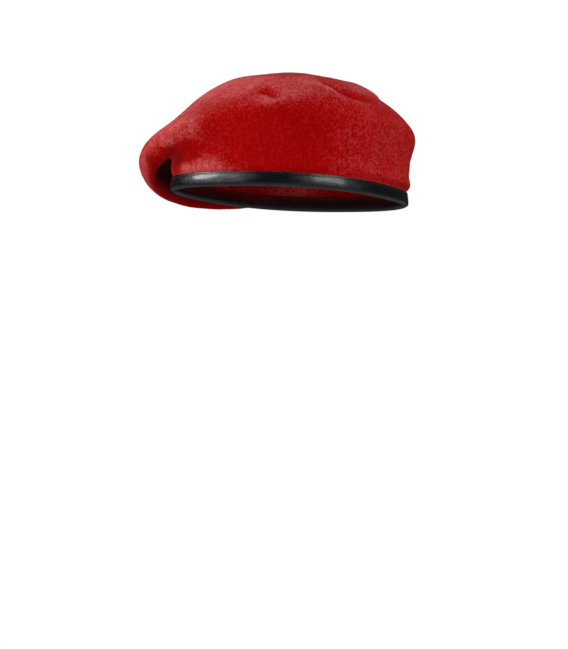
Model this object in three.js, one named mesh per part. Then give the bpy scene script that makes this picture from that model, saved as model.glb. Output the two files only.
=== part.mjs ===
// A soft felt beret of the military kind with a leather headband, in the shape it
// takes when worn: a raised front, a flattish top and a drape over the right side.
//
// Millimetres, +Z up. The front is at -Y and the hat's left at +X. The lower
// plane of the rim is z = 0 and the origin is the middle of the rim.
// Azimuths are in degrees: 0 is the front, 90 the hat's left, 180 the back
// and -90 the hat's right, where the felt is pulled down.
import * as THREE from 'three';

// The oval of the headband's outer face.
const BAND_HALF_WIDTH = 83;
const BAND_HALF_LENGTH = 100;
const BAND_SQUARENESS = 2.45;

// Felt and the way it stands inside the folded leather.
const FELT_WALL = 2;
const FELT_FOOT_OUT = -1.65;
const FELT_FOOT_UPS = [1.8, 6, 9.5, 12];

// Leather binding: a strip folded round the felt's edge.
const BAND_HEIGHT = 10.5;
const BAND_INSIDE_HEIGHT = 12;
const LEATHER_WALL = 1.2;
const LEATHER_FLOOR = 1.4;
const BAND_DEPTH = 5.2;
const BAND_PILLOW = 0.6;
const FOLD_CORNER = 1.3;
const CHANNEL_CORNER = 0.3;
const ROLL_TOP = 7;

// How finely the surfaces are divided.
const AROUND = 76;
const STEPS_BETWEEN_RINGS = [1, 1, 1, 2, 2, 3, 3, 4, 4, 4, 4];

// The felt up to here, counted in rings from its foot, is held by the headband
// and takes no dents.
const BOUND_RINGS = 3.5;

// Top of the crown, where all the up-going lines meet.
const APEX = new THREE.Vector3(-14, 6, 93);

// One row for each 30 degrees round the hat. "Out" is the distance from the
// headband's outer face, "up" the height above the rim. Going up from the band:
// the puff over the leather, the valley where the felt turns outward, the inner
// side of the drape, its lip, the belly, the shoulder and the ring on the top.
// "topShare" is how far the top ring lies from the apex toward the shoulder, and
// "roll" is how far the lower half of the leather bulges.
const SECTIONS = table(
  ['azimuth', 'puffOut', 'puffUp', 'valleyOut', 'valleyUp', 'innerOut', 'innerUp', 'lipOut', 'lipUp',
    'bellyOut', 'bellyUp', 'shoulderOut', 'shoulderUp', 'topShare', 'topUp', 'roll'],
  [
    [-180, 1.3, 17, 0, 23, 5, 26, 10, 22, 18.5, 35.5, 9, 61.5, 0.58, 85.5, 0.2],
    [-150, 0.7, 18, 1, 29, 11, 29, 18.5, -0.5, 34.5, 22.5, 15, 52.5, 0.6, 80.5, 0.2],
    [-120, 0.7, 19, 1, 33, 17, 31, 26.5, -15.5, 48, 15.5, 20, 46, 0.6, 77.5, 0.2],
    [-90, 1.1, 18, 1, 32, 16, 34, 27.5, -12.5, 51.5, 13.5, 18.5, 42.5, 0.6, 79, 0.3],
    [-60, 1.2, 17, 0, 27, 7, 23, 17, 3.5, 40, 28, 10.5, 46, 0.6, 89.5, 0.3],
    [-30, 1, 16, -2, 26, 0, 31, 3.5, 35.5, 12, 47.5, -6.5, 53, 0.6, 96, 0.1],
    [0, 0.3, 16, -1, 23, 0, 30, 0.5, 39, 3.5, 53, -4.5, 63.5, 0.58, 95.5, 0],
    [30, 0.1, 16, -1, 23, 0, 31, 1, 40, 4, 54, -1, 67, 0.58, 97.5, 0],
    [60, 0.4, 16, -1, 23, 0, 31, 0.5, 40, 3, 54, -0.5, 67.5, 0.56, 97, 0.2],
    [90, 1.6, 16, 0, 23, 0, 31, 1, 39.5, 3, 52, 2.5, 65.5, 0.55, 100.5, 0.6],
    [120, 3.8, 16, 0, 23, 1, 31, -0.5, 38.5, 3.5, 51.5, 3.5, 62.5, 0.55, 98, 1.2],
    [150, 3.1, 16, 0, 23, 2, 30, 2.5, 33.5, 8, 47, 6, 63, 0.56, 90, 0.5],
  ],
);

// Dents pressed into the crown along short lines from one point to another.
// A negative depth raises a crease.
const DENTS = table(
  ['fromX', 'fromY', 'fromZ', 'toX', 'toY', 'toZ', 'reach', 'depth'],
  [
    [13, -81, 75, 20, -85, 72, 5, 2],
    [20, -85, 72, 31, -90, 67, 5.5, 3.4],
    [8, -80, 76, 24, -92, 66, 4, -1.1],
    [24, -92, 66, 31, -94, 62, 4, -1.1],
    [31, -94, 62, 41, -88, 65, 4, -0.8],
    [54, -44, 81, 67, -34, 76, 10, 4],
    [67, -34, 76, 71, -18, 75, 8, 2.5],
    [71, -18, 75, 65, 24, 79, 4.5, 1.6],
    [47, -54, 81, 59, -58, 74, 4.5, -1.3],
    [59, -58, 74, 69, -56, 67, 4.5, -1.3],
    [69, -56, 67, 76, -42, 66, 4.5, -1.2],
    [76, -42, 66, 75, -20, 71, 4.5, -1],
    [49, 7, 88, 60, 16, 82, 8, -1.5],
    [-81, -52, 18, -91, -38, 11, 7, 5],
    [-42, -91, 25, -14, -99, 29, 5, 1],
  ],
);

// Colours read from the picture.
const FELT_RED = '#a11d1f';
const LEATHER_BLACK = '#121318';

/** Turns rows of numbers into objects whose fields carry the column names. */
function table(columns, rows) {
  return rows.map((row) => Object.fromEntries(columns.map((name, index) => [name, row[index]])));
}

/** How far up its line each point of the crown lies, counted in rings. */
const RING_PLACES = STEPS_BETWEEN_RINGS.flatMap((steps, span) => (
  Array.from({ length: steps }, (_, step) => span + step / steps)
));

/** The four weights of a uniform cubic B-spline at the share w of one span. */
function splineWeights(w) {
  const rest = 1 - w;
  return [
    rest ** 3 / 6,
    (3 * w ** 3 - 6 * w ** 2 + 4) / 6,
    (-3 * w ** 3 + 3 * w ** 2 + 3 * w + 1) / 6,
    w ** 3 / 6,
  ];
}

/** The azimuth of one of the upright lines, in radians. */
function azimuthAt(column) {
  return -Math.PI + (2 * Math.PI * column) / AROUND;
}

/** A column of the section table, smoothed round the hat. */
function sectionValue(name, column) {
  const place = (column / AROUND) * SECTIONS.length;
  const first = Math.floor(place);
  const weights = splineWeights(place - first);
  return weights.reduce((sum, weight, index) => {
    const row = SECTIONS[(first + index - 1 + SECTIONS.length) % SECTIONS.length];
    return sum + weight * row[name];
  }, 0);
}

/** A point at a distance from the headband's outer oval and a height above the rim. */
function bandPoint(column, out, up) {
  const azimuth = azimuthAt(column);
  const across = Math.abs(Math.sin(azimuth)) / BAND_HALF_WIDTH;
  const along = Math.abs(Math.cos(azimuth)) / BAND_HALF_LENGTH;
  const oval = (across ** BAND_SQUARENESS + along ** BAND_SQUARENESS) ** (-1 / BAND_SQUARENESS);
  const radius = oval + out;
  return new THREE.Vector3(Math.sin(azimuth) * radius, -Math.cos(azimuth) * radius, up);
}

/** The points that pull one upright line of the crown into shape, from its foot to the apex. */
function crownControls(column) {
  const foot = FELT_FOOT_UPS.map((up) => bandPoint(column, FELT_FOOT_OUT, up));
  const folds = ['puff', 'valley', 'inner', 'lip', 'belly', 'shoulder'].map((fold) => bandPoint(
    column,
    sectionValue(`${fold}Out`, column),
    sectionValue(`${fold}Up`, column),
  ));
  const shoulder = folds.at(-1);
  const top = APEX.clone().lerp(shoulder, sectionValue('topShare', column));
  top.z = sectionValue('topUp', column);
  // The last two make every line arrive at the apex level with its neighbours.
  const summit = APEX.clone().setZ(APEX.z + (APEX.z - top.z) / 2);
  const beyond = new THREE.Vector3(2 * APEX.x - top.x, 2 * APEX.y - top.y, top.z);
  const before = foot[0].clone().multiplyScalar(2).sub(foot[1]);
  return [before, ...foot, ...folds, top, summit, beyond];
}

/** One upright line of the crown, from its foot to just below the apex. */
function crownLine(column) {
  const controls = crownControls(column);
  return RING_PLACES.map((place) => {
    const span = Math.floor(place);
    const point = new THREE.Vector3();
    splineWeights(place - span).forEach((weight, index) => {
      point.addScaledVector(controls[span + index], weight);
    });
    return point;
  });
}

/** Outward directions at the points of a grid of upright lines that meet in a tip. */
function outwardDirections(lines, tip) {
  return lines.map((line, column) => {
    const next = lines[(column + 1) % lines.length];
    const previous = lines[(column - 1 + lines.length) % lines.length];
    return line.map((point, row) => {
      const sideways = next[row].clone().sub(previous[row]);
      const above = line[row + 1] ?? tip;
      const below = line[row - 1] ?? point;
      const upward = above.clone().sub(below);
      return sideways.cross(upward).normalize();
    });
  });
}

/** How deep the dents are at a point that lies this many rings up its line. */
function dentDepth(point, place) {
  const free = THREE.MathUtils.clamp(place - BOUND_RINGS, 0, 1);
  return DENTS.reduce((depth, dent) => {
    const crease = new THREE.Line3(
      new THREE.Vector3(dent.fromX, dent.fromY, dent.fromZ),
      new THREE.Vector3(dent.toX, dent.toY, dent.toZ),
    );
    const nearest = crease.closestPointToPoint(point, true, new THREE.Vector3());
    const share = nearest.distanceTo(point) / dent.reach;
    return depth + free * dent.depth * Math.exp(-share * share);
  }, 0);
}

/** Moves every point of the lines inward, against the outward directions. */
function movedInward(lines, directions, distanceAt) {
  return lines.map((line, column) => line.map((point, row) => {
    const distance = distanceAt(point, RING_PLACES[row]);
    return point.clone().addScaledVector(directions[column][row], -distance);
  }));
}

/** Puts named points and triangles together as one closed mesh. */
function solid(name, points, triangles, colour, roughness) {
  const geometry = new THREE.BufferGeometry();
  const flat = points.flatMap((point) => point.toArray());
  geometry.setAttribute('position', new THREE.Float32BufferAttribute(flat, 3));
  geometry.setIndex(triangles.flat());
  geometry.computeVertexNormals();
  const material = new THREE.MeshStandardMaterial({ color: colour, roughness, metalness: 0 });
  const mesh = new THREE.Mesh(geometry, material);
  mesh.name = name;
  return mesh;
}

/** Two triangles between neighbouring points of a grid; `at` gives a point's number. */
function patch(at, column, nextColumn, row, nextRow) {
  const a = at(column, row);
  const b = at(nextColumn, row);
  const c = at(nextColumn, nextRow);
  const d = at(column, nextRow);
  return [[a, b, c], [a, c, d]];
}

/** The felt: an outer skin, an inner skin one wall further in, and the cut edge between them. */
function makeCrown() {
  const columns = Array.from({ length: AROUND }, (_, column) => column);
  const plain = columns.map((column) => crownLine(column));
  const outer = movedInward(plain, outwardDirections(plain, APEX), dentDepth);
  const outerTip = APEX.clone().setZ(APEX.z - dentDepth(APEX, STEPS_BETWEEN_RINGS.length));
  const inner = movedInward(outer, outwardDirections(outer, outerTip), () => FELT_WALL);
  const innerTip = outerTip.clone().setZ(outerTip.z - FELT_WALL);

  const rows = outer[0].length;
  const points = [...outer.flat(), ...inner.flat(), outerTip, innerTip];
  const innerStart = AROUND * rows;
  const outerTipNumber = 2 * innerStart;
  const innerTipNumber = outerTipNumber + 1;
  const onOuter = (column, row) => column * rows + row;
  const onInner = (column, row) => innerStart + column * rows + row;

  const triangles = [];
  columns.forEach((column) => {
    const next = (column + 1) % AROUND;
    for (let row = 0; row < rows - 1; row += 1) {
      triangles.push(...patch(onOuter, column, next, row, row + 1));
      triangles.push(...patch(onInner, next, column, row, row + 1));
    }
    triangles.push([onOuter(column, rows - 1), onOuter(next, rows - 1), outerTipNumber]);
    triangles.push([onInner(next, rows - 1), onInner(column, rows - 1), innerTipNumber]);
    triangles.push([onOuter(column, 0), onInner(column, 0), onInner(next, 0)]);
    triangles.push([onOuter(column, 0), onInner(next, 0), onOuter(next, 0)]);
  });
  return solid('crown', points, triangles, FELT_RED, 0.95);
}

/** The folded leather's outline at one azimuth, as [out, up] pairs going round it once. */
function bandOutline(roll) {
  const channelOuter = -LEATHER_WALL;
  const channelInner = LEATHER_WALL - BAND_DEPTH;
  const middle = BAND_HEIGHT / 2;
  const pillowAt = (up) => {
    const share = (up - middle) / middle;
    const lower = THREE.MathUtils.clamp((ROLL_TOP - up) / ROLL_TOP, 0, 1);
    return BAND_PILLOW * (1 - share * share) + roll * lower;
  };
  return [
    [-FOLD_CORNER / 4, BAND_HEIGHT],
    [pillowAt(BAND_HEIGHT - FOLD_CORNER / 2), BAND_HEIGHT - FOLD_CORNER / 2],
    [pillowAt(ROLL_TOP), ROLL_TOP],
    [pillowAt(middle), middle],
    [pillowAt(middle / 2), middle / 2],
    [pillowAt(FOLD_CORNER) - FOLD_CORNER / 4, FOLD_CORNER],
    [-FOLD_CORNER + roll / 2, FOLD_CORNER / 4],
    [-BAND_DEPTH / 2, 0],
    [FOLD_CORNER - BAND_DEPTH, FOLD_CORNER / 4],
    [FOLD_CORNER / 4 - BAND_DEPTH, FOLD_CORNER],
    [-BAND_DEPTH, middle / 2],
    [-BAND_DEPTH, BAND_INSIDE_HEIGHT],
    [channelInner, BAND_INSIDE_HEIGHT],
    [channelInner, LEATHER_FLOOR + CHANNEL_CORNER],
    [channelInner + CHANNEL_CORNER, LEATHER_FLOOR],
    [channelOuter - CHANNEL_CORNER, LEATHER_FLOOR],
    [channelOuter, LEATHER_FLOOR + CHANNEL_CORNER],
    [channelOuter, BAND_HEIGHT],
  ];
}

/** The leather headband: its folded outline carried once round the rim. */
function makeHeadband() {
  const columns = Array.from({ length: AROUND }, (_, column) => column);
  const loops = columns.map((column) => bandOutline(sectionValue('roll', column))
    .map(([out, up]) => bandPoint(column, out, up)));
  const corners = loops[0].length;
  const at = (column, row) => column * corners + row;
  const triangles = [];
  columns.forEach((column) => {
    const next = (column + 1) % AROUND;
    for (let row = 0; row < corners; row += 1) {
      triangles.push(...patch(at, next, column, row, (row + 1) % corners));
    }
  });
  return solid('headband', loops.flat(), triangles, LEATHER_BLACK, 0.35);
}

const beret = new THREE.Group();
beret.name = 'beret';
beret.add(makeCrown(), makeHeadband());

export default beret;
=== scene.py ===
"""Dresses the felt beret: a brushed wool crown with its drape, and a sewn leather binding.

Metres and the part's own frame throughout: +Z up, the front at -Y, the hat's left at
+X, and the middle of the rim at the origin. Azimuths are in degrees, 0 at the front,
90 at the hat's left and -90 at its right, under the drape.
"""

import logging
import math
from dataclasses import dataclass

import bmesh
import bpy
from mathutils import Matrix, Vector, noise


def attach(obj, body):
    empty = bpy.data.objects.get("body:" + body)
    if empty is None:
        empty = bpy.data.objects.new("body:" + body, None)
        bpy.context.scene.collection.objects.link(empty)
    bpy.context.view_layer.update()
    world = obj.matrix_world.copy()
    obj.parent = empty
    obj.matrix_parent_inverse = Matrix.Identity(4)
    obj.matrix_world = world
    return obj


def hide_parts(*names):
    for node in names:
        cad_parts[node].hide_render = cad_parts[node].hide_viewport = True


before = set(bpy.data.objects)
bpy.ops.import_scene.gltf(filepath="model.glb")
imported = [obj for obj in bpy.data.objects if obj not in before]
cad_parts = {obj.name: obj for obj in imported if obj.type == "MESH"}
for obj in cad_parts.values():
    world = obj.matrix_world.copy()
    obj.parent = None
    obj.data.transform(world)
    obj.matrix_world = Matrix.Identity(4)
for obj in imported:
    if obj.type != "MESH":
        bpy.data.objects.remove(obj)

LOG = logging.getLogger("beret")
MM = 0.001
PER_METRE = 1000.0


# The shape of the crown


@dataclass(frozen=True)
class Section:
    """One upright section of the crown, in millimetres.

    "Out" is the distance from the binding's outer face and "up" the height above the rim.
    """

    azimuth: float
    puff_out: float
    puff_up: float
    valley_out: float
    valley_up: float
    inner_out: float
    inner_up: float
    lip_out: float
    lip_up: float
    belly_out: float
    belly_up: float
    shoulder_out: float
    shoulder_up: float
    top_share: float
    top_up: float
    roll: float


SECTIONS = (
    Section(-180, 1.3, 17, 0, 23, 5, 26, 10, 22, 18.5, 35.5, 9, 61.5, 0.58, 85.5, 0.2),
    Section(-150, 0.7, 18, 1, 29, 11, 29, 18.5, -0.5, 34.5, 22.5, 15, 52.5, 0.6, 80.5, 0.2),
    Section(-120, 0.7, 19, 1, 33, 17, 31, 26.5, -15.5, 48, 15.5, 20, 46, 0.6, 77.5, 0.2),
    Section(-90, 1.1, 18, 1, 32, 16, 34, 27.5, -12.5, 51.5, 13.5, 18.5, 42.5, 0.6, 79, 0.3),
    Section(-60, 1.2, 17, 0, 27, 7, 23, 17, 3.5, 40, 28, 10.5, 46, 0.6, 89.5, 0.3),
    Section(-30, 1, 16, -2, 26, 0, 31, 3.5, 35.5, 12, 47.5, -6.5, 53, 0.6, 96, 0.1),
    Section(0, 0.3, 16, -1, 23, 0, 30, 0.5, 39, 3.5, 53, -4.5, 63.5, 0.58, 95.5, 0),
    Section(30, 0.1, 16, -1, 23, 0, 31, 1, 40, 4, 54, -1, 67, 0.58, 97.5, 0),
    Section(60, 0.4, 16, -1, 23, 0, 31, 0.5, 40, 3, 54, -0.5, 67.5, 0.56, 97, 0.2),
    Section(90, 1.6, 16, 0, 23, 0, 31, 1, 39.5, 3, 52, 2.5, 65.5, 0.55, 100.5, 0.6),
    Section(120, 3.8, 16, 0, 23, 1, 31, -0.5, 38.5, 3.5, 51.5, 3.5, 62.5, 0.55, 98, 1.2),
    Section(150, 3.1, 16, 0, 23, 2, 30, 2.5, 33.5, 8, 47, 6, 63, 0.56, 90, 0.5),
)


def clamped(share: float) -> float:
    """A share kept from 0 to 1."""
    return max(0.0, min(1.0, share))


def smooth_step(value: float, low: float, high: float) -> float:
    """Rises smoothly from 0 at the low value to 1 at the high one."""
    share = clamped((value - low) / (high - low))
    return share * share * (3.0 - 2.0 * share)


def nearness(
    point: Vector,
    start: tuple[float, float, float],
    end: tuple[float, float, float],
    reach: float,
) -> float:
    """How near a point is to a short line, falling off softly.

    Args:
        point: The point.
        start: The line's start.
        end: The line's end.
        reach: The distance over which it falls off.

    Returns:
        1 on the line, and towards 0 away from it.
    """
    first = Vector(start)
    along = Vector(end) - first
    share = clamped((point - first).dot(along) / along.length_squared)
    distance = (point - first - along * share).length / reach
    return math.exp(-distance * distance)


@dataclass(frozen=True)
class Dent:
    """A dent pressed in along a short line, in millimetres; a negative depth raises a crease."""

    start: tuple[float, float, float]
    end: tuple[float, float, float]
    reach: float
    depth: float

    def depth_at(self, point: Vector) -> float:
        """How deep this dent is at a point, in millimetres."""
        return self.depth * nearness(point, self.start, self.end, self.reach)


DENTS = (
    Dent((13, -81, 75), (20, -85, 72), 5, 2),
    Dent((20, -85, 72), (31, -90, 67), 5.5, 3.4),
    Dent((8, -80, 76), (24, -92, 66), 4, -1.1),
    Dent((24, -92, 66), (31, -94, 62), 4, -1.1),
    Dent((31, -94, 62), (41, -88, 65), 4, -0.8),
    Dent((54, -44, 81), (67, -34, 76), 10, 4),
    Dent((67, -34, 76), (71, -18, 75), 8, 2.5),
    Dent((71, -18, 75), (65, 24, 79), 4.5, 1.6),
    Dent((47, -54, 81), (59, -58, 74), 4.5, -1.3),
    Dent((59, -58, 74), (69, -56, 67), 4.5, -1.3),
    Dent((69, -56, 67), (76, -42, 66), 4.5, -1.2),
    Dent((76, -42, 66), (75, -20, 71), 4.5, -1),
    Dent((49, 7, 88), (60, 16, 82), 8, -1.5),
    Dent((-81, -52, 18), (-91, -38, 11), 7, 5),
    Dent((-42, -91, 25), (-14, -99, 29), 5, 1),
)


@dataclass(frozen=True)
class SheenAndShadePatch:
    """Painted sheen added to the nap or taken away along a short line, in millimetres, and painted
    shade there.

    The sheen share is added to the nap's own and may be negative; the painted shade is a share.
    """

    start: tuple[float, float, float]
    end: tuple[float, float, float]
    reach: float
    pile_and_sheen: float
    painted_shade: float


# Painted sheen added or taken away patch by patch, and painted shade in the pocket beside the
# hollow under the drape.
SHEEN_AND_SHADE_PATCHES = (
    SheenAndShadePatch((-58, -83, 20), (-38, -92, 25), 11, -0.6, 0),
    SheenAndShadePatch((-58, -83, 20), (-50, -86, 22), 8, 0, 0.62),
    SheenAndShadePatch((-50, -86, 22), (-36, -93, 25), 8, 0, 0.25),
    SheenAndShadePatch((-83, -74, 21), (-82, -69, 12), 7, -0.4, 0.35),
    SheenAndShadePatch((-32, -102, 45), (-50, -96, 42), 11, 0.24, 0),
    SheenAndShadePatch((-61, -91, 33), (-55, -94, 31), 5.5, 0.28, 0),
    SheenAndShadePatch((-44, -91, 15), (-12, -99, 14), 7, 0.36, 0),
    SheenAndShadePatch((-5, -99, 12), (8, -99, 11), 5, 0.16, 0),
    SheenAndShadePatch((25, -95, 62), (42, -84, 68), 8, 0.2, 0),
)


def spline_weights(w: float) -> tuple[float, float, float, float]:
    """The four weights of a uniform cubic B-spline.

    Args:
        w: The share of one span, from 0 to 1.

    Returns:
        The weights of the control before the span, its two ends and the one after.
    """
    return (
        (1 - w) ** 3 / 6,
        (3 * w**3 - 6 * w**2 + 4) / 6,
        (-3 * w**3 + 3 * w**2 + 3 * w + 1) / 6,
        w**3 / 6,
    )


@dataclass(frozen=True)
class RimOval:
    """The oval of the binding's outer face, in millimetres."""

    half_width: float = 83.0
    half_length: float = 100.0
    squareness: float = 2.45

    def point(self, azimuth: float, out: float, up: float) -> Vector:
        """A point beside the oval.

        Args:
            azimuth: The direction from the middle, in radians.
            out: The distance from the oval.
            up: The height above the rim.

        Returns:
            The point in millimetres.
        """
        across = abs(math.sin(azimuth)) / self.half_width
        along = abs(math.cos(azimuth)) / self.half_length
        power = self.squareness
        radius = (across**power + along**power) ** (-1 / power) + out
        return Vector((math.sin(azimuth) * radius, -math.cos(azimuth) * radius, up))


@dataclass(frozen=True)
class CrownForm:
    """The worn crown's form: a smooth surface pulled into shape by the section table."""

    oval: RimOval
    apex: tuple[float, float, float] = (-14.0, 6.0, 93.0)
    foot_out: float = -1.65
    foot_ups: tuple[float, ...] = (1.8, 6.0, 9.5, 12.0)

    def section_value(self, name: str, azimuth: float) -> float:
        """A column of the section table, smoothed round the hat.

        Args:
            name: The column.
            azimuth: The direction, in radians from -pi.

        Returns:
            The smoothed value.
        """
        place = (azimuth + math.pi) / math.tau * len(SECTIONS)
        first = math.floor(place)
        total = 0.0
        for index, weight in enumerate(spline_weights(place - first)):
            row = SECTIONS[(first + index - 1) % len(SECTIONS)]
            total += weight * getattr(row, name)
        return total

    def controls(self, azimuth: float) -> list[Vector]:
        """The points that pull one upright line into shape, from its foot to past the apex.

        Args:
            azimuth: The direction, in radians.

        Returns:
            The control points in millimetres.
        """
        foot = [self.oval.point(azimuth, self.foot_out, up) for up in self.foot_ups]
        folds = [
            self.oval.point(
                azimuth,
                self.section_value(f"{fold}_out", azimuth),
                self.section_value(f"{fold}_up", azimuth),
            )
            for fold in ("puff", "valley", "inner", "lip", "belly", "shoulder")
        ]
        apex = Vector(self.apex)
        top = apex.lerp(folds[-1], self.section_value("top_share", azimuth))
        top.z = self.section_value("top_up", azimuth)
        summit = Vector((apex.x, apex.y, apex.z + (apex.z - top.z) / 2))
        beyond = Vector((2 * apex.x - top.x, 2 * apex.y - top.y, top.z))
        return [2 * foot[0] - foot[1], *foot, *folds, top, summit, beyond]

    def spans(self) -> int:
        """How many spans an upright line has."""
        return len(self.foot_ups) + 7

    def line(self, azimuth: float, places: list[float]) -> list[Vector]:
        """Points on one upright line.

        Args:
            azimuth: The direction, in radians.
            places: How far up the line each point is, in spans.

        Returns:
            One point for each place, in millimetres.
        """
        controls = self.controls(azimuth)
        points = []
        for place in places:
            span = min(int(place), self.spans() - 1)
            weights = spline_weights(place - span)
            points.append(sum((controls[span + k] * w for k, w in enumerate(weights)), Vector()))
        return points


# Mesh helpers


def finished_piece(
    name: str, mesh: bmesh.types.BMesh, material: bpy.types.Material
) -> bpy.types.Object:
    """Turns a bmesh into a piece that rides on the hat.

    Args:
        name: The piece's name.
        mesh: The shape, in metres; it is freed.
        material: The finish.

    Returns:
        The new object.
    """
    data = bpy.data.meshes.new(name)
    mesh.to_mesh(data)
    mesh.free()
    for polygon in data.polygons:
        polygon.use_smooth = True
    data.materials.append(material)
    piece = bpy.data.objects.new(name, data)
    bpy.context.scene.collection.objects.link(piece)
    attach(piece, "root")
    LOG.info("%s: %d faces", name, len(data.polygons))
    return piece


def spun(profile: list[tuple[float, float]], steps: int, closed: bool) -> bmesh.types.BMesh:
    """Spins a profile once round the upright axis.

    Args:
        profile: Radius and height of each point.
        steps: How many steps the turn has.
        closed: Whether the profile's last point joins its first.

    Returns:
        The turned shape; a vertex keeps its profile point's number in the layer "row".
    """
    mesh = bmesh.new()
    row_layer = mesh.verts.layers.int.new("row")
    verts = []
    for row, (radius, height) in enumerate(profile):
        vert = mesh.verts.new((0.0, -radius, height))
        vert[row_layer] = row
        verts.append(vert)
    pairs = list(zip(verts, verts[1:]))
    if closed:
        pairs.append((verts[-1], verts[0]))
    edges = [mesh.edges.new(pair) for pair in pairs]
    bmesh.ops.spin(
        mesh,
        geom=verts + edges,
        cent=(0, 0, 0),
        axis=(0, 0, 1),
        angle=math.tau,
        steps=steps,
        use_merge=True,
    )
    bmesh.ops.remove_doubles(mesh, verts=mesh.verts, dist=1e-6)
    return mesh


def azimuth_of(point: Vector) -> float:
    """The direction of a point from the upright axis, in radians from -pi to pi."""
    return math.atan2(point.x, -point.y)


# Shader node groups


def new_group(
    name: str, inputs: dict[str, float], outputs: dict[str, str]
) -> tuple[bpy.types.NodeTree, bpy.types.Node, bpy.types.Node]:
    """Makes an empty shader node group.

    Args:
        name: The group's name.
        inputs: Number inputs with their defaults.
        outputs: Outputs with their socket types.

    Returns:
        The group, its input node and its output node.
    """
    group = bpy.data.node_groups.new(name, "ShaderNodeTree")
    for label, value in inputs.items():
        socket = group.interface.new_socket(
            name=label, in_out="INPUT", socket_type="NodeSocketFloat"
        )
        socket.default_value = value
    for label, kind in outputs.items():
        group.interface.new_socket(name=label, in_out="OUTPUT", socket_type=kind)
    return group, group.nodes.new("NodeGroupInput"), group.nodes.new("NodeGroupOutput")


def add_noise(
    tree: bpy.types.NodeTree,
    place: bpy.types.NodeSocket,
    scale: float,
    detail: float,
    roughness: float = 0.55,
) -> bpy.types.Node:
    """Adds a noise texture to a node tree.

    Args:
        tree: The tree.
        place: The coordinates it reads.
        scale: Its scale, per metre.
        detail: How many finer layers it has.
        roughness: How strong the finer layers are.

    Returns:
        The texture node.
    """
    node = tree.nodes.new("ShaderNodeTexNoise")
    node.inputs["Scale"].default_value = scale
    node.inputs["Detail"].default_value = detail
    node.inputs["Roughness"].default_value = roughness
    tree.links.new(place, node.inputs["Vector"])
    return node


def add_math(
    tree: bpy.types.NodeTree,
    operation: str,
    first: bpy.types.NodeSocket | float,
    second: bpy.types.NodeSocket | float = 0.0,
    clamp: bool = False,
) -> bpy.types.NodeSocket:
    """Adds a Math node.

    Args:
        tree: The tree.
        operation: The node's operation.
        first: Its first input.
        second: Its second input.
        clamp: Whether the result is kept from 0 to 1.

    Returns:
        The result's socket.
    """
    node = tree.nodes.new("ShaderNodeMath")
    node.operation = operation
    node.use_clamp = clamp
    for index, value in enumerate((first, second)):
        if isinstance(value, (int, float)):
            node.inputs[index].default_value = value
        else:
            tree.links.new(value, node.inputs[index])
    return node.outputs[0]


def add_range(
    tree: bpy.types.NodeTree,
    value: bpy.types.NodeSocket,
    low: float,
    high: float,
    to_low: float = 0.0,
    to_high: float = 1.0,
) -> bpy.types.NodeSocket:
    """Adds a smooth, clamped Map Range node.

    Args:
        tree: The tree.
        value: The value to map.
        low: The value that becomes `to_low`.
        high: The value that becomes `to_high`.
        to_low: The low result.
        to_high: The high result.

    Returns:
        The result's socket.
    """
    node = tree.nodes.new("ShaderNodeMapRange")
    node.interpolation_type = "SMOOTHSTEP"
    tree.links.new(value, node.inputs["Value"])
    node.inputs["From Min"].default_value = low
    node.inputs["From Max"].default_value = high
    node.inputs["To Min"].default_value = to_low
    node.inputs["To Max"].default_value = to_high
    return node.outputs["Result"]


def add_mix(
    tree: bpy.types.NodeTree,
    share: bpy.types.NodeSocket | float,
    first: bpy.types.NodeSocket | tuple[float, float, float],
    second: bpy.types.NodeSocket | tuple[float, float, float],
) -> bpy.types.NodeSocket:
    """Adds a colour mix.

    Args:
        tree: The tree.
        share: How much of the second colour shows.
        first: The first colour.
        second: The second colour.

    Returns:
        The mixed colour's socket.
    """
    node = tree.nodes.new("ShaderNodeMix")
    node.data_type = "RGBA"
    for index, value in ((0, share), (6, first), (7, second)):
        socket = node.inputs[index]
        if isinstance(value, tuple):
            socket.default_value = (*value, 1.0)
        elif isinstance(value, (int, float)):
            socket.default_value = value
        else:
            tree.links.new(value, socket)
    return node.outputs[2]


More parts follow.
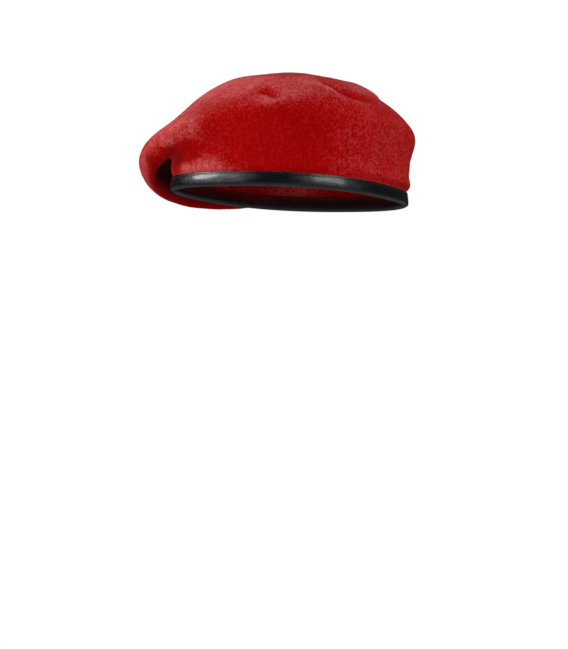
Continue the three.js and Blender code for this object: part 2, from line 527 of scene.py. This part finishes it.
class Effects:
    """Shader node groups that several finishes share, each built once."""

    def __init__(self) -> None:
        """Builds the groups."""
        self.nap = self.make_nap()
        self.grain = self.make_grain()
        self.patches = self.make_patches()

    def make_nap(self) -> bpy.types.NodeTree:
        """Brushed wool: matted tufts a few millimetres long under single fibres.

        Returns:
            A group with the outputs Height, Tufts and Fibres.
        """
        group, start, end = new_group(
            "wool nap",
            {"Tuft Size": 2.2, "Fibre Size": 0.5},
            {"Height": "NodeSocketFloat", "Tufts": "NodeSocketFloat", "Fibres": "NodeSocketFloat"},
        )
        place = group.nodes.new("ShaderNodeTexCoord").outputs["Object"]
        bend = add_noise(group, place, 160.0, 2.0)
        shift = group.nodes.new("ShaderNodeVectorMath")
        shift.operation = "SCALE"
        shift.inputs["Scale"].default_value = 0.004
        group.links.new(bend.outputs["Color"], shift.inputs[0])
        bent = group.nodes.new("ShaderNodeVectorMath")
        bent.operation = "ADD"
        group.links.new(place, bent.inputs[0])
        group.links.new(shift.outputs[0], bent.inputs[1])
        tufts = add_noise(group, bent.outputs[0], 1.0, 3.0, 0.6)
        tuft_scale = add_math(group, "DIVIDE", PER_METRE, start.outputs["Tuft Size"])
        group.links.new(tuft_scale, tufts.inputs["Scale"])
        fibres = add_noise(group, bent.outputs[0], 1.0, 4.0, 0.7)
        fibre_scale = add_math(group, "DIVIDE", PER_METRE, start.outputs["Fibre Size"])
        group.links.new(fibre_scale, fibres.inputs["Scale"])
        fine = add_math(group, "MULTIPLY", fibres.outputs["Fac"], 0.55)
        height = add_math(group, "ADD", tufts.outputs["Fac"], fine)
        group.links.new(height, end.inputs["Height"])
        group.links.new(tufts.outputs["Fac"], end.inputs["Tufts"])
        group.links.new(fibres.outputs["Fac"], end.inputs["Fibres"])
        return group

    def make_grain(self) -> bpy.types.NodeTree:
        """Leather grain: small rounded cells with fine creases between them.

        Returns:
            A group with the outputs Height and Creases.
        """
        group, start, end = new_group(
            "leather grain",
            {"Cell Size": 0.9},
            {"Height": "NodeSocketFloat", "Creases": "NodeSocketFloat"},
        )
        place = group.nodes.new("ShaderNodeTexCoord").outputs["Object"]
        cells = group.nodes.new("ShaderNodeTexVoronoi")
        cells.feature = "DISTANCE_TO_EDGE"
        group.links.new(place, cells.inputs["Vector"])
        scale = add_math(group, "DIVIDE", PER_METRE, start.outputs["Cell Size"])
        group.links.new(scale, cells.inputs["Scale"])
        creases = add_range(group, cells.outputs["Distance"], 0.0, 0.22, 1.0, 0.0)
        pores = add_noise(group, place, 2600.0, 2.0)
        height = add_math(
            group,
            "SUBTRACT",
            add_math(group, "MULTIPLY", pores.outputs["Fac"], 0.35),
            add_math(group, "MULTIPLY", creases, 0.65),
        )
        group.links.new(height, end.inputs["Height"])
        group.links.new(creases, end.inputs["Creases"])
        return group

    def make_patches(self) -> bpy.types.NodeTree:
        """Broad soft patches of wear, handling and uneven dye.

        Returns:
            A group with the output Mask.
        """
        group, start, end = new_group(
            "broad patches", {"Size": 40.0}, {"Mask": "NodeSocketFloat"}
        )
        place = group.nodes.new("ShaderNodeTexCoord").outputs["Object"]
        broad = add_noise(group, place, 1.0, 3.0)
        scale = add_math(group, "DIVIDE", PER_METRE, start.outputs["Size"])
        group.links.new(scale, broad.inputs["Scale"])
        group.links.new(add_range(group, broad.outputs["Fac"], 0.35, 0.68), end.inputs["Mask"])
        return group


def new_material(name: str) -> tuple[bpy.types.Material, bpy.types.NodeTree, bpy.types.Node]:
    """Makes a material with its shader.

    Args:
        name: The material's name.

    Returns:
        The material, its node tree and its Principled shader.
    """
    material = bpy.data.materials.new(name)
    material.use_nodes = True
    tree = material.node_tree
    return material, tree, tree.nodes["Principled BSDF"]


def use_group(
    tree: bpy.types.NodeTree, group: bpy.types.NodeTree, values: dict[str, float]
) -> bpy.types.Node:
    """Places a node group in a material.

    Args:
        tree: The material's tree.
        group: The group.
        values: The group's inputs for this material.

    Returns:
        The group's node.
    """
    node = tree.nodes.new("ShaderNodeGroup")
    node.node_tree = group
    for label, value in values.items():
        node.inputs[label].default_value = value
    return node


def add_bump(
    tree: bpy.types.NodeTree,
    shader: bpy.types.Node,
    height: bpy.types.NodeSocket,
    distance: float,
    strength: float,
) -> None:
    """Joins a height to a shader's normal through a Bump node.

    Args:
        tree: The material's tree.
        shader: The Principled shader.
        height: The height's socket.
        distance: The height of one unit, in metres.
        strength: How strong the bump is.
    """
    node = tree.nodes.new("ShaderNodeBump")
    node.inputs["Distance"].default_value = distance
    node.inputs["Strength"].default_value = strength
    tree.links.new(height, node.inputs["Height"])
    tree.links.new(node.outputs["Normal"], shader.inputs["Normal"])


Colour = tuple[float, float, float]


@dataclass(frozen=True)
class FeltFinish:
    """Brushed red wool felt with a lifted, slightly matted nap and a paler fibre-tip colour that
    also stands for a painted sheen.
    """

    deep: Colour = (0.375, 0.0006, 0.0006)
    mid: Colour = (0.425, 0.0012, 0.0012)
    bright: Colour = (0.55, 0.006, 0.006)
    # Painted shade colour for the hollow under the drape.
    shade: Colour = (0.035, 0.0002, 0.0003)
    # Pale fibre-tip colour, also a painted sheen on the faces turned to the lights.
    tips_and_sheen: Colour = (0.74, 0.138, 0.132)
    haze: Colour = (1.0, 0.75, 0.72)
    tuft_size: float = 2.0
    tuft_share: float = 0.3
    fibre_size: float = 0.55
    fibre_share: float = 0.25
    patch_size: float = 45.0
    clump_size: float = 13.0
    clump_spread: float = 0.14
    pile_and_sheen_gain: float = 1.5
    most_tips: float = 0.85
    specular: float = 0.02
    sheen: float = 0.04
    sheen_roughness: float = 0.3
    nap_height: float = 0.8 * MM
    nap_strength: float = 0.7

    def tip_and_sheen_share(
        self, tree: bpy.types.NodeTree, nap: bpy.types.Node, patches: bpy.types.NodeTree
    ) -> bpy.types.NodeSocket:
        """Works out how much of the pale fibre-tip colour shows, with its painted sheen.

        A vertex attribute says how far the nap stands up and where the painted sheen falls, and
        the tufts break it up.

        Args:
            tree: The felt's tree.
            nap: The nap group's node.
            patches: The group of broad patches.

        Returns:
            A share from 0 to 1.
        """
        pile_and_sheen = tree.nodes.new("ShaderNodeAttribute")
        pile_and_sheen.attribute_name = "pile_and_sheen"
        clumps = use_group(tree, patches, {"Size": self.clump_size})
        low, high = 1.0 - self.clump_spread, 1.0 + self.clump_spread
        clumped = add_range(tree, clumps.outputs["Mask"], 0.0, 1.0, low, high)
        nap_and_sheen_share = add_math(tree, "MULTIPLY", pile_and_sheen.outputs["Fac"], clumped)
        tufts = add_range(tree, nap.outputs["Height"], 0.6, 0.94, -0.33, 0.06)
        standing = add_math(tree, "ADD", add_math(tree, "MULTIPLY", nap_and_sheen_share, self.pile_and_sheen_gain), tufts)
        return add_range(tree, standing, 0.0, 1.0, 0.0, self.most_tips)

    def material(self, effects: Effects) -> bpy.types.Material:
        """Builds the material.

        Args:
            effects: The shared node groups.

        Returns:
            The felt.
        """
        felt, tree, shader = new_material("red wool felt")
        sizes = {"Tuft Size": self.tuft_size, "Fibre Size": self.fibre_size}
        nap = use_group(tree, effects.nap, sizes)
        patches = use_group(tree, effects.patches, {"Size": self.patch_size})
        tufts = add_range(tree, nap.outputs["Tufts"], 0.45, 0.66)
        fibres = add_range(tree, nap.outputs["Fibres"], 0.48, 0.70)
        worn = add_mix(tree, patches.outputs["Mask"], self.deep, self.mid)
        tuft_light = add_math(tree, "MULTIPLY", tufts, self.tuft_share)
        fibre_light = add_math(tree, "MULTIPLY", fibres, self.fibre_share)
        matted = add_mix(tree, tuft_light, worn, self.bright)
        lit = add_mix(tree, fibre_light, matted, self.bright)
        # Mixes in the pale fibre-tip colour: the nap's own, and a painted sheen where the lights
        # fall.
        with_tips_and_sheen = add_mix(tree, self.tip_and_sheen_share(tree, nap, effects.patches), lit, self.tips_and_sheen)
        # Painted shade: the hollow under the drape and the pocket beside it turn towards the shade
        # colour.
        folded = tree.nodes.new("ShaderNodeAttribute")
        folded.attribute_name = "fold"
        shaded = add_mix(tree, folded.outputs["Fac"], with_tips_and_sheen, self.shade)
        tree.links.new(shaded, shader.inputs["Base Color"])
        rough = add_range(tree, nap.outputs["Tufts"], 0.3, 0.7, 0.98, 0.88)
        tree.links.new(rough, shader.inputs["Roughness"])
        shader.inputs["Specular IOR Level"].default_value = self.specular
        shader.inputs["Sheen Weight"].default_value = self.sheen
        shader.inputs["Sheen Roughness"].default_value = self.sheen_roughness
        shader.inputs["Sheen Tint"].default_value = (*self.haze, 1.0)
        add_bump(tree, shader, nap.outputs["Height"], self.nap_height, self.nap_strength)
        return felt


@dataclass(frozen=True)
class LeatherFinish:
    """Polished black hide with a fine grain and paler wear on its folded edges."""

    hide: Colour = (0.002, 0.0028, 0.0036)
    worn: Colour = (0.022, 0.025, 0.028)
    cell_size: float = 0.8
    scuff_size: float = 14.0
    least_scuff: float = 0.45
    smooth: float = 0.13
    dull: float = 0.2
    crease_roughness: float = 0.08
    refraction: float = 1.65
    coat_roughness: float = 0.14
    grain_height: float = 0.12 * MM
    grain_strength: float = 0.55

    def material(self, effects: Effects) -> bpy.types.Material:
        """Builds the material.

        Args:
            effects: The shared node groups.

        Returns:
            The leather.
        """
        leather, tree, shader = new_material("black leather")
        grain = use_group(tree, effects.grain, {"Cell Size": self.cell_size})
        patches = use_group(tree, effects.patches, {"Size": self.scuff_size})
        edge = tree.nodes.new("ShaderNodeAttribute")
        edge.attribute_name = "edge"
        patchy = add_range(tree, patches.outputs["Mask"], 0.0, 1.0, self.least_scuff, 1.0)
        scuffs = add_math(tree, "MULTIPLY", edge.outputs["Fac"], patchy)
        base = add_mix(tree, scuffs, self.hide, self.worn)
        tree.links.new(base, shader.inputs["Base Color"])
        rough = add_range(tree, patches.outputs["Mask"], 0.0, 1.0, self.smooth, self.dull)
        creases = add_math(tree, "MULTIPLY", grain.outputs["Creases"], self.crease_roughness)
        tree.links.new(add_math(tree, "ADD", rough, creases), shader.inputs["Roughness"])
        shader.inputs["IOR"].default_value = self.refraction
        shader.inputs["Specular IOR Level"].default_value = 1.0
        shader.inputs["Coat Weight"].default_value = 1.0
        shader.inputs["Coat Roughness"].default_value = self.coat_roughness
        add_bump(tree, shader, grain.outputs["Height"], self.grain_height, self.grain_strength)
        return leather


@dataclass(frozen=True)
class ThreadFinish:
    """Waxed black sewing thread."""

    colour: Colour = (0.012, 0.012, 0.014)
    rubbed: float = 2.2
    patch_size: float = 3.0
    strand_size: float = 0.5
    fibre_size: float = 0.15
    roughness: float = 0.55
    twist_height: float = 0.08 * MM
    twist_strength: float = 0.5

    def material(self, effects: Effects) -> bpy.types.Material:
        """Builds the material.

        Args:
            effects: The shared node groups.

        Returns:
            The thread.
        """
        thread, tree, shader = new_material("black thread")
        patches = use_group(tree, effects.patches, {"Size": self.patch_size})
        pale = tuple(self.rubbed * part for part in self.colour)
        tone = add_mix(tree, patches.outputs["Mask"], self.colour, pale)
        tree.links.new(tone, shader.inputs["Base Color"])
        shader.inputs["Roughness"].default_value = self.roughness
        sizes = {"Tuft Size": self.strand_size, "Fibre Size": self.fibre_size}
        nap = use_group(tree, effects.nap, sizes)
        add_bump(tree, shader, nap.outputs["Height"], self.twist_height, self.twist_strength)
        return thread


# Sub-assemblies


@dataclass
class FeltCrown:
    """The crown: one seamless felt shell with its folds, dents and soft surface."""

    form: CrownForm
    columns: int = 320
    rows_per_span: tuple[int, ...] = (2, 2, 3, 6, 8, 9, 10, 12, 14, 16, 16)
    wall: float = 2.0 * MM
    bound_spans: float = 3.5
    # Where the painted shade inside the hollow under the drape rises and falls.
    hollow_from: float = 4.6
    hollow_rise: float = 0.6
    hollow_to: float = 6.95
    hollow_fall: float = 0.45
    drape_out: float = 4.0
    lump_size: float = 26.0
    lump_height: float = 0.55
    pit_size: float = 7.0
    pit_height: float = 0.16
    gather_count: float = 12.0
    gather_length: float = 30.0
    gather_height: float = 0.5
    base_pile: float = 0.05
    dent_pile: float = 0.08
    # Painted sheen: the pale fibre-tip colour on the hat's right side facing the key lights, its
    # left side, upward slopes and the top.
    right_side_sheen: float = 0.35
    left_side_sheen: float = 0.15
    upward_sheen: float = 0.1
    top_sheen: float = 0.48
    top_from: float = 54.0
    top_to: float = 94.0

    def places(self) -> list[float]:
        """How far up an upright line each row of the mesh lies, in spans."""
        rows = []
        for span, steps in enumerate(self.rows_per_span):
            rows.extend(span + step / steps for step in range(steps))
        rows.append(float(len(self.rows_per_span)))
        return rows

    def build_mesh(self) -> bmesh.types.BMesh:
        """Spins a plain dome and shapes it into the worn crown.

        Returns:
            The felt's outer skin, in metres.
        """
        places = self.places()
        last = len(places) - 1
        dome = [(0.0 if row == last else 1.0, row / last) for row in range(len(places))]
        mesh = spun(dome, self.columns, closed=False)
        row_layer = mesh.verts.layers.int["row"]
        # Shares of painted shade and of nap with painted sheen, per vertex.
        painted_shade_layer = mesh.verts.layers.float.new("fold")
        mesh.verts.layers.float.new("pile_and_sheen")
        lines: dict[int, list[Vector]] = {}
        for vert in mesh.verts:
            row = round(vert.co.z * last)
            vert[row_layer] = row
            column = round(azimuth_of(vert.co) / math.tau * self.columns) if row < last else 0
            azimuth = column * math.tau / self.columns
            if column not in lines:
                lines[column] = self.form.line(azimuth, places)
            vert.co = lines[column][row] * MM
            # Painted shade inside the hollow under the drape.
            vert[painted_shade_layer] = self.hollow_shade(places[row], azimuth)
        self.press(mesh, places)
        return mesh

    def hollow_shade(self, place: float, azimuth: float) -> float:
        """How far a point lies inside the hollow under the drape, as a share of painted shade.

        Args:
            place: How far up its upright line the point is, in spans.
            azimuth: Its direction, in radians.

        Returns:
            A share from 0 to 1.
        """
        out = self.form.section_value("inner_out", azimuth)
        rise = clamped((place - self.hollow_from) / self.hollow_rise)
        fall = clamped((self.hollow_to - place) / self.hollow_fall)
        return rise * fall * clamped((out - self.drape_out) / self.drape_out)

    def pile_and_painted_sheen(self, point: Vector, normal: Vector) -> float:
        """How much the nap's pale fibre-tip colour shows, with a painted sheen: more on the faces
        turned to the key lights at the hat's right, on its left side, on upward slopes and on the
        top.

        Args:
            point: A point of the skin, in millimetres.
            normal: The skin's direction there, before its dents.

        Returns:
            A share from 0 to 1.
        """
        # Painted sheen on the faces turned to the lights and on the top.
        faces_right = smooth_step(-normal.x, -0.1, 0.45)
        faces_right *= 1.0 - 0.6 * smooth_step(-normal.x, 0.5, 0.9)
        faces_right *= 1.0 - 0.3 * smooth_step(normal.z, 0.3, 0.8)
        near_top = smooth_step(point.z, self.top_from, self.top_to)
        near_top *= 1.0 - 0.8 * smooth_step(normal.x, 0.3, 0.9)
        near_top *= 1.0 - 0.7 * smooth_step(normal.z, 0.84, 0.96)
        near_top *= 1.0 - 0.45 * smooth_step(-normal.x, 0.1, 0.5)
        return (
            self.base_pile
            + self.right_side_sheen * faces_right
            + self.left_side_sheen * smooth_step(normal.x, 0.65, 1.05)
            + self.upward_sheen * smooth_step(normal.z, 0.0, 0.9)
            + self.top_sheen * near_top
        )

    def press(self, mesh: bmesh.types.BMesh, places: list[float]) -> None:
        """Presses the dents and the felt's uneven surface into the skin.

        Args:
            mesh: The outer skin.
            places: How far up an upright line each row lies, in spans.
        """
        bmesh.ops.recalc_face_normals(mesh, faces=mesh.faces)
        mesh.normal_update()
        row_layer = mesh.verts.layers.int["row"]
        pile_and_sheen_layer = mesh.verts.layers.float["pile_and_sheen"]
        painted_shade_layer = mesh.verts.layers.float["fold"]
        moves = []
        for vert in mesh.verts:
            point = vert.co / MM
            free = places[vert[row_layer]] - self.bound_spans
            dented = sum(dent.depth_at(point) for dent in DENTS)
            depth = dented - self.unevenness(point, free)
            # Pale fibre-tip share with painted sheen, less in the dents; the patches add painted
            # sheen and painted shade.
            pile_and_sheen = self.pile_and_painted_sheen(point, vert.normal) - self.dent_pile * dented
            for patch in SHEEN_AND_SHADE_PATCHES:
                near = nearness(point, patch.start, patch.end, patch.reach)
                pile_and_sheen += patch.pile_and_sheen * near
                vert[painted_shade_layer] = max(vert[painted_shade_layer], patch.painted_shade * near)
            vert[pile_and_sheen_layer] = max(pile_and_sheen, 0.0)
            moves.append(vert.normal * depth * clamped(free) * MM)
        for vert, move in zip(mesh.verts, moves):
            vert.co -= move
        mesh.normal_update()

    def unevenness(self, point: Vector, free: float) -> float:
        """The soft lumps of real felt and its gathers over the binding.

        Args:
            point: A point of the skin, in millimetres.
            free: How far the point is above the bound felt, in spans.

        Returns:
            How far the felt stands out there, in millimetres.
        """
        lump = noise.noise(point / self.lump_size) * self.lump_height
        pit = noise.noise(point / self.pit_size + Vector((7.0, 3.0, 1.0))) * self.pit_height
        turn = azimuth_of(point) * self.gather_count
        gather = noise.noise(Vector((turn, 0.0, point.z / self.gather_length)))
        return lump + pit + gather * self.gather_height * math.exp(-max(free, 0.0))

    def build(self, felt: bpy.types.Material) -> bpy.types.Object:
        """Makes the crown.

        Args:
            felt: The felt's material.

        Returns:
            The crown piece.
        """
        piece = finished_piece("felt_crown", self.build_mesh(), felt)
        wall = piece.modifiers.new("wall", "SOLIDIFY")
        wall.thickness = self.wall
        wall.offset = -1.0
        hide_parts("crown")
        return piece


@dataclass
class LeatherBinding:
    """The headband: a strip of hide folded round the felt's edge and sewn through."""

    form: CrownForm
    steps: int = 288
    height: float = 10.5
    inside_height: float = 12.0
    wall: float = 1.2
    floor: float = 1.4
    depth: float = 5.2
    pillow: float = 0.6
    roll_top: float = 7.0
    fold: float = 1.3
    stitch_pitch: float = 2.6
    stitch_length: float = 1.9
    stitch_radius: float = 0.27
    stitch_up: float = 8.9
    stitch_tilt: float = 0.1
    seam_depth: float = 0.32
    seam_reach: float = 0.8
    wave_height: float = 0.12

    def bulge(self, up: float, roll: float) -> float:
        """How far the outer face stands out.

        Args:
            up: The height above the rim.
            roll: The extra bulge of the lower half.

        Returns:
            The distance from the oval, in millimetres.
        """
        middle = self.height / 2
        share = (up - middle) / middle
        lower = clamped((self.roll_top - up) / self.roll_top)
        seam = self.seam_depth * math.exp(-(((up - self.stitch_up) / self.seam_reach) ** 2))
        return self.pillow * (1 - share * share) + roll * lower - seam

    def outline(self, roll: float) -> list[tuple[float, float, float]]:
        """The folded hide's outline at one azimuth.

        Args:
            roll: The extra bulge of the lower half.

        Returns:
            Out, up and edge wear of each corner, going once round.
        """
        fold, depth, height = self.fold, self.depth, self.height
        outer = [(self.bulge(up, roll), up, wear) for up, wear in (
            (10.2, 0.9), (9.8, 0.35), (9.4, 0.1), (8.9, 0.1), (8.4, 0.1), (7.8, 0.0), (7.0, 0.0),
            (6.0, 0.0), (5.0, 0.0), (4.0, 0.0), (3.0, 0.0), (2.2, 0.1))]
        channel_outer, channel_inner = -self.wall, self.wall - depth
        return [
            (-self.wall / 2, height, 0.6),
            (-0.25, height - 0.04, 1.0),
            *outer,
            (self.bulge(fold, roll) - 0.15, 1.3, 0.35),
            (-0.6 + roll / 2, 0.62, 0.9),
            (-1.3 + roll / 3, 0.22, 0.8),
            (-depth / 2, 0.0, 0.5),
            (fold - depth, 0.25, 0.5),
            (0.35 - depth, 1.1, 0.2),
            (-depth, 2.6, 0.0),
            (-depth, 6.0, 0.0),
            (-depth, self.inside_height - 0.35, 0.4),
            (-depth + 0.3, self.inside_height, 0.9),
            (channel_inner - 0.25, self.inside_height, 0.8),
            (channel_inner, self.inside_height - 0.3, 0.3),
            (channel_inner, 6.0, 0.0),
            (channel_inner, self.floor + 0.3, 0.0),
            (channel_inner + 0.3, self.floor, 0.0),
            (channel_outer - 0.3, self.floor, 0.0),
            (channel_outer, self.floor + 0.3, 0.0),
            (channel_outer, 6.0, 0.0),
            (channel_outer, height - 0.2, 0.2),
        ]

    def build_mesh(self) -> bmesh.types.BMesh:
        """Spins the folded outline and lays it round the rim oval.

        Returns:
            The hide, in metres.
        """
        flat = [(100.0 + out, up) for out, up, _ in self.outline(0.0)]
        mesh = spun(flat, self.steps, closed=True)
        row_layer = mesh.verts.layers.int["row"]
        edge_layer = mesh.verts.layers.float.new("edge")
        outlines: dict[int, list[tuple[float, float, float]]] = {}
        for vert in mesh.verts:
            azimuth = azimuth_of(vert.co)
            column = round(azimuth / math.tau * self.steps)
            if column not in outlines:
                outlines[column] = self.outline(self.form.section_value("roll", azimuth))
            out, up, wear = outlines[column][vert[row_layer]]
            wave = self.wave_height * noise.noise(Vector((azimuth * 9.0, up / 6.0, 2.0)))
            vert[edge_layer] = wear
            vert.co = self.form.oval.point(azimuth, out + (wave if out > -0.9 else 0.0), up) * MM
        bmesh.ops.recalc_face_normals(mesh, faces=mesh.faces)
        return mesh

    def build_stitches(self) -> bmesh.types.BMesh:
        """Sews a row of stitches just under the outer face's top edge.

        Returns:
            The stitches, in metres.
        """
        mesh = bmesh.new()
        radius = self.stitch_radius
        out = self.bulge(self.stitch_up, 0.0) + 0.02
        stretch = self.stitch_length / 2 / radius
        tilt = Matrix.Rotation(self.stitch_tilt, 3, "Y")
        for azimuth, along in self.stitch_places():
            centre = self.form.oval.point(azimuth, out, self.stitch_up)
            made = bmesh.ops.create_uvsphere(mesh, u_segments=8, v_segments=6, radius=radius)
            verts = made["verts"]
            bmesh.ops.scale(mesh, verts=verts, vec=(stretch, 1.0, 1.0))
            turn = Matrix.Rotation(math.atan2(along.y, along.x), 3, "Z")
            bmesh.ops.rotate(mesh, verts=verts, cent=(0, 0, 0), matrix=turn @ tilt)
            bmesh.ops.translate(mesh, verts=verts, vec=centre)
        bmesh.ops.scale(mesh, verts=mesh.verts, vec=(MM, MM, MM))
        return mesh

    def stitch_places(self) -> list[tuple[float, Vector]]:
        """Where the stitches sit.

        Returns:
            The azimuth in radians and the direction along the band of each stitch.
        """
        fine = 2400
        turns = [-math.pi + math.tau * step / fine for step in range(fine + 1)]
        points = [self.form.oval.point(turn, 0.0, 0.0) for turn in turns]
        lengths = [0.0]
        for first, second in zip(points, points[1:]):
            lengths.append(lengths[-1] + (second - first).length)
        count = round(lengths[-1] / self.stitch_pitch)
        places = []
        index = 0
        for number in range(count):
            target = lengths[-1] * number / count
            while lengths[index + 1] < target:
                index += 1
            places.append((turns[index], (points[index + 1] - points[index]).normalized()))
        return places

    def build(
        self, leather: bpy.types.Material, thread: bpy.types.Material
    ) -> list[bpy.types.Object]:
        """Makes the binding and its stitching.

        Args:
            leather: The hide's material.
            thread: The stitches' material.

        Returns:
            The two pieces.
        """
        hide = finished_piece("leather_binding", self.build_mesh(), leather)
        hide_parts("headband")
        stitches = finished_piece("binding_stitches", self.build_stitches(), thread)
        return [hide, stitches]


# Studio


@dataclass(frozen=True)
class SoftBox:
    """One soft area light, aimed at the middle of the hat."""

    name: str
    azimuth: float
    elevation: float
    distance: float
    width: float
    height: float
    power: float
    mirrored: bool = True


def direction(azimuth: float, elevation: float) -> Vector:
    """The direction that points away from the hat at two angles, in degrees."""
    turn, rise = math.radians(azimuth), math.radians(elevation)
    level = math.cos(rise)
    return Vector((math.sin(turn) * level, -math.cos(turn) * level, math.sin(rise)))


@dataclass(frozen=True)
class PhotoCamera:
    """The viewpoint: slightly below the rim, from the hat's front left quarter."""

    azimuth: float = 28.0
    elevation: float = -5.5
    roll: float = 2.4
    distance: float = 1.3
    focal_pixels: float = 1664.0
    aim_right: float = 1.6
    aim_down: float = 124.7
    frame_height: float = 649.0
    sensor: float = 36.0

    def build(self) -> None:
        """Makes the camera and turns it as the picture was framed."""
        back = direction(self.azimuth, self.elevation)
        ahead = -back
        right = ahead.cross(Vector((0, 0, 1))).normalized()
        up = right.cross(ahead)
        pan = math.atan(self.aim_right / self.focal_pixels)
        tilt = math.atan(self.aim_down / self.focal_pixels)
        roll = math.radians(self.roll)
        panned = ahead * math.cos(pan) - right * math.sin(pan)
        side = right * math.cos(pan) + ahead * math.sin(pan)
        aimed = panned * math.cos(tilt) - up * math.sin(tilt)
        level = up * math.cos(tilt) + panned * math.sin(tilt)
        across = side * math.cos(roll) + level * math.sin(roll)
        upright = -side * math.sin(roll) + level * math.cos(roll)
        data = bpy.data.cameras.new("camera")
        data.sensor_width = self.sensor
        data.lens = self.focal_pixels * self.sensor / self.frame_height
        data.clip_start, data.clip_end = 0.05, 60.0
        camera = bpy.data.objects.new("camera", data)
        turned = Matrix((across, upright, -aimed)).transposed()
        camera.matrix_world = Matrix.LocRotScale(back * self.distance, turned, None)
        bpy.context.scene.collection.objects.link(camera)
        bpy.context.scene.camera = camera


@dataclass
class Studio:
    """A pale studio: floor, backdrop light and soft boxes."""

    floor_up: float = -1.2
    floor_radius: float = 9.0
    floor_tone: float = 0.12
    fade_from: float = 0.6
    fade_to: float = 3.5
    near_white: float = 0.9
    fill: float = 0.54
    mirrored_fill: float = 0.02
    aim_up: float = 0.04
    boxes: tuple[SoftBox, ...] = (
        SoftBox("key", -49.0, 19.0, 1.5, 0.65, 0.7, 6.5),
        SoftBox("left", -82.0, 10.0, 1.5, 1.2, 1.2, 8.5, mirrored=False),
        SoftBox("front", 30.0, -5.0, 1.6, 1.0, 1.0, 4.5, mirrored=False),
        SoftBox("right", 84.0, 20.0, 1.6, 1.1, 0.9, 5.0),
        SoftBox("side", 110.0, 0.0, 1.5, 1.0, 1.0, 5.0, mirrored=False),
        SoftBox("bounce", -30.0, -50.0, 1.1, 1.2, 1.2, 5.0, mirrored=False),
    )

    def build(self) -> None:
        """Makes the floor, the surroundings and the lights."""
        self.build_floor()
        self.build_world()
        for box in self.boxes:
            self.build_box(box)

    def build_floor(self) -> None:
        """Lays a pale floor that fades into the surroundings."""
        mesh = bmesh.new()
        bmesh.ops.create_circle(mesh, cap_ends=True, segments=96, radius=self.floor_radius)
        bmesh.ops.translate(mesh, verts=mesh.verts, vec=(0, 0, self.floor_up))
        data = bpy.data.meshes.new("floor")
        mesh.to_mesh(data)
        mesh.free()
        pale, tree, shader = new_material("pale floor")
        tone = self.floor_tone
        shader.inputs["Base Color"].default_value = (tone, tone, tone, 1.0)
        shader.inputs["Roughness"].default_value = 0.9
        white = tree.nodes.new("ShaderNodeEmission")
        white.inputs["Strength"].default_value = 1.0
        rays = tree.nodes.new("ShaderNodeLightPath")
        place = tree.nodes.new("ShaderNodeTexCoord")
        distance = tree.nodes.new("ShaderNodeVectorMath")
        distance.operation = "LENGTH"
        tree.links.new(place.outputs["Object"], distance.inputs[0])
        reach = distance.outputs["Value"]
        far = add_range(tree, reach, self.fade_from, self.fade_to, self.near_white, 1.0)
        share = add_math(tree, "MULTIPLY", far, rays.outputs["Is Camera Ray"])
        mix = tree.nodes.new("ShaderNodeMixShader")
        tree.links.new(share, mix.inputs[0])
        tree.links.new(shader.outputs[0], mix.inputs[1])
        tree.links.new(white.outputs[0], mix.inputs[2])
        tree.links.new(mix.outputs[0], tree.nodes["Material Output"].inputs["Surface"])
        data.materials.append(pale)
        floor = bpy.data.objects.new("floor", data)
        bpy.context.scene.collection.objects.link(floor)

    def build_world(self) -> None:
        """Surrounds the scene with a white that lights the hat only gently."""
        world = bpy.data.worlds.new("surroundings")
        world.use_nodes = True
        tree = world.node_tree
        plain = tree.nodes["Background"]
        plain.inputs["Color"].default_value = (0.93, 0.95, 1.0, 1.0)
        plain.inputs["Strength"].default_value = self.fill
        dim = tree.nodes.new("ShaderNodeBackground")
        dim.inputs["Color"].default_value = (0.8, 0.9, 1.0, 1.0)
        dim.inputs["Strength"].default_value = self.mirrored_fill
        seen = tree.nodes.new("ShaderNodeBackground")
        seen.inputs["Color"].default_value = (1.0, 1.0, 1.0, 1.0)
        seen.inputs["Strength"].default_value = 1.0
        rays = tree.nodes.new("ShaderNodeLightPath")
        mirrored = tree.nodes.new("ShaderNodeMixShader")
        tree.links.new(rays.outputs["Is Glossy Ray"], mirrored.inputs[0])
        tree.links.new(plain.outputs[0], mirrored.inputs[1])
        tree.links.new(dim.outputs[0], mirrored.inputs[2])
        mix = tree.nodes.new("ShaderNodeMixShader")
        tree.links.new(rays.outputs["Is Camera Ray"], mix.inputs[0])
        tree.links.new(mirrored.outputs[0], mix.inputs[1])
        tree.links.new(seen.outputs[0], mix.inputs[2])
        tree.links.new(mix.outputs[0], tree.nodes["World Output"].inputs["Surface"])
        bpy.context.scene.world = world

    def build_box(self, box: SoftBox) -> None:
        """Places one soft light.

        Args:
            box: The light.
        """
        data = bpy.data.lights.new(box.name, "AREA")
        data.shape = "RECTANGLE"
        data.size, data.size_y = box.width, box.height
        data.energy = box.power
        away = direction(box.azimuth, box.elevation)
        light = bpy.data.objects.new(box.name, data)
        light.location = Vector((0, 0, self.aim_up)) + away * box.distance
        light.rotation_mode = "QUATERNION"
        light.rotation_quaternion = (-away).to_track_quat("-Z", "Y")
        light.visible_camera = False
        light.visible_glossy = box.mirrored
        bpy.context.scene.collection.objects.link(light)


def main() -> None:
    """Builds the hat and its studio."""
    logging.basicConfig(level=logging.INFO, format="%(name)s %(message)s")
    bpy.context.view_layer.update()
    PhotoCamera().build()
    effects = Effects()
    form = CrownForm(RimOval())
    FeltCrown(form).build(FeltFinish().material(effects))
    LeatherBinding(form).build(LeatherFinish().material(effects), ThreadFinish().material(effects))
    Studio().build()
    bpy.context.scene.view_settings.view_transform = "Standard"


if __name__ == "__main__":
    main()
